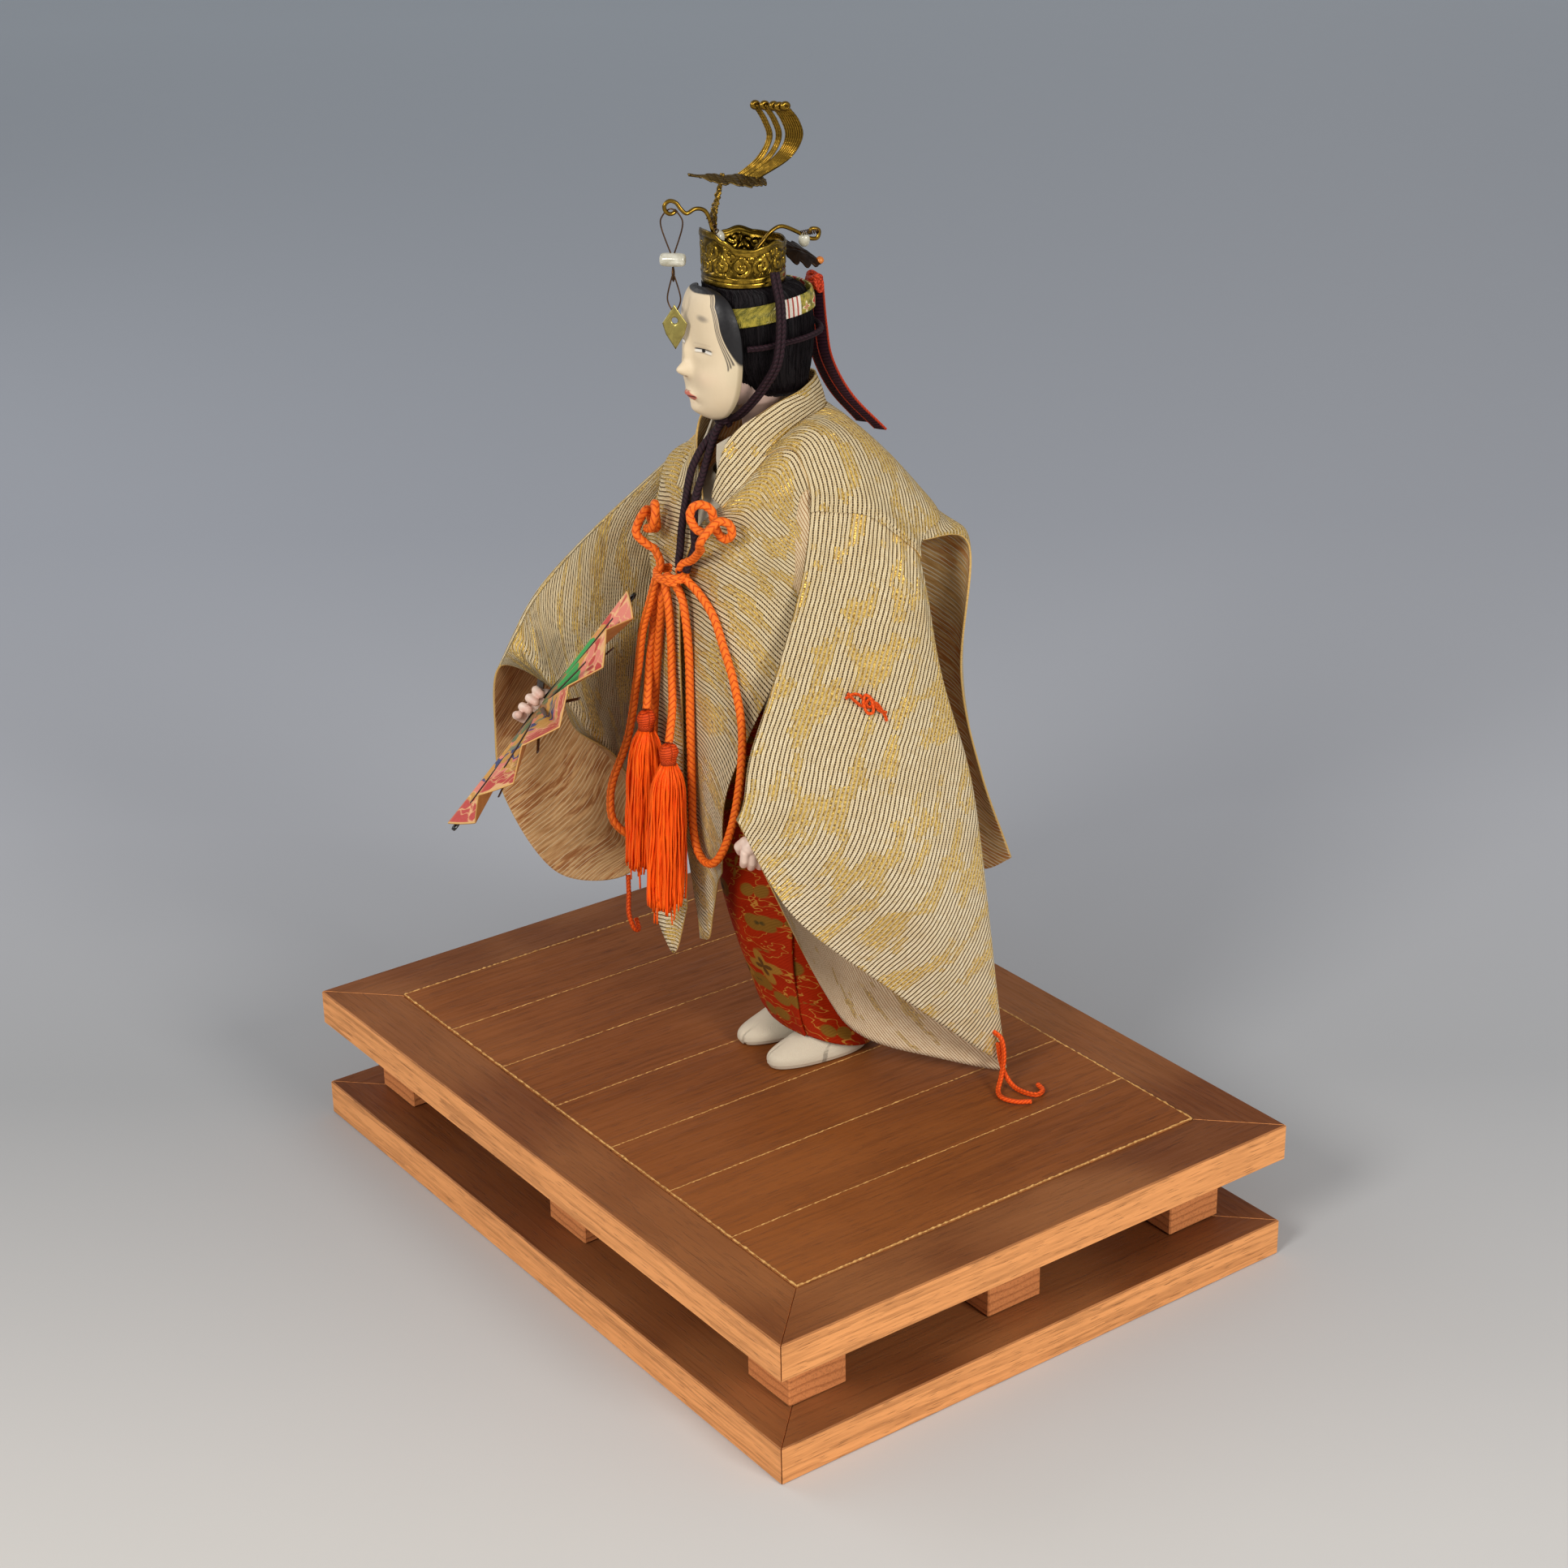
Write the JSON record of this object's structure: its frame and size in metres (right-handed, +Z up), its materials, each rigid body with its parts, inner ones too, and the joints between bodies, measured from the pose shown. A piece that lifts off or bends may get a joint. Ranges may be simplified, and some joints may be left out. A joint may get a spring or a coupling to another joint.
{
  "type": "masked dancing doll on a wooden stage",
  "caption": "Dancing doll in a mask, gilt crown and broad-sleeved gauze robe with an open fan, standing on a raised wooden stage.",
  "frame": {"origin": "middle of the stage's underside, on the surface it stands on", "axes": "+Z up, +X along the stage's long side towards the doll's left hand, -Y to the front; the doll is turned about 8 degrees towards -X from straight ahead"},
  "size_m": [0.26, 0.19, 0.3441],
  "materials": {
    "cedar": "planed light orange-brown softwood, matt",
    "end_grain": "sawn end grain, a little darker and redder",
    "cedar_top": "planed warm brown boards, matt",
    "straw": "bound padding",
    "wire": "drawn wire",
    "white_cloth": "plain white cotton",
    "red_silk": "red silk with a woven gold pattern",
    "skin": "carved wood with pale shell-white paint, satin",
    "gauze": "open cream gauze with fine warp stripes and gold cloud patches",
    "purple_cord": "dark purple twisted cord",
    "orange_cord": "bright orange braided silk cord and floss",
    "fan_paper": "pleated painted paper: gold, dark blue and red bands, plain brown behind",
    "black_lacquer": "black lacquer",
    "hair": "smooth black dressed hair",
    "mask": "ivory shell-white paint with painted features, satin",
    "brocade": "green-gold brocade with red motifs",
    "orange_silk": "dark purple ribbon edged in orange-red, orange-red knot",
    "gold": "gilt brass, embossed",
    "dark_bronze": "dark patinated bronze",
    "milky_stone": "milky polished bead"
  },
  "bodies": {
    "stage_and_figure": {"lower_rail_front": "cedar", "lower_rail_back": "cedar", "lower_rail_left": "cedar", "lower_rail_right": "cedar", "spacer_block_1": "end_grain", "spacer_block_2": "end_grain", "spacer_block_3": "end_grain", "spacer_block_4": "end_grain", "spacer_block_5": "end_grain", "spacer_block_6": "end_grain", "spacer_block_7": "end_grain", "spacer_block_8": "end_grain", "deck_rail_front": "cedar", "deck_rail_back": "cedar", "deck_rail_left": "cedar", "deck_rail_right": "cedar", "floor_board_1": "cedar_top", "floor_board_2": "cedar_top", "floor_board_3": "cedar_top", "floor_board_4": "cedar_top", "floor_board_5": "cedar_top", "floor_board_6": "cedar_top", "floor_board_7": "cedar_top", "torso_core": "straw", "leg_wire": "wire", "foot_left": "white_cloth", "foot_right": "white_cloth", "skirt": "red_silk", "arm_wire": "wire", "hand_left": "skin", "hand_right": "skin", "inner_collar": "white_cloth", "robe_left": "gauze", "robe_right": "gauze", "robe_collar": "gauze", "sleeve_left": "gauze", "sleeve_right": "gauze", "chest_cord": "purple_cord", "breast_cord_left": "orange_cord", "breast_cord_right": "orange_cord", "tassel_front": "orange_cord", "tassel_rear": "orange_cord", "sleeve_cord_left": "orange_cord", "sleeve_cord_right": "orange_cord", "fan_leaf": "fan_paper", "fan_guard_front": "black_lacquer", "fan_guard_rear": "black_lacquer"},
    "head_group": {"head": "skin", "hair": "hair", "mask": "mask", "headband": "brocade", "headband_tails": "orange_silk", "crown_band": "gold", "crown_leaf": "dark_bronze", "crown_wire": "gold", "phoenix": "gold", "mask_cord": "purple_cord", "chin_cord": "purple_cord"},
    "bead_pendant": {"pendant_bead": "milky_stone"},
    "plate_pendant": {"pendant_plate": "gold"}
  },
  "joints": [
    {"name": "head_turn", "type": "hinge", "parent": "stage_and_figure", "child": "head_group", "pos_m": [-0.00636, 0.00209, 0.248], "axis": [0, 0, 1], "range_deg": [-10, 10]},
    {"name": "pendant_swing", "type": "hinge", "parent": "head_group", "child": "bead_pendant", "pos_m": [-0.00999, -0.02446, 0.31718], "axis": [0.1357, 0.9907, 0], "range_deg": [-25, 25]},
    {"name": "plate_swing", "type": "hinge", "parent": "bead_pendant", "child": "plate_pendant", "pos_m": [-0.00999, -0.02446, 0.29888], "axis": [0.1357, 0.9907, 0], "range_deg": [-25, 25]}
  ]
}
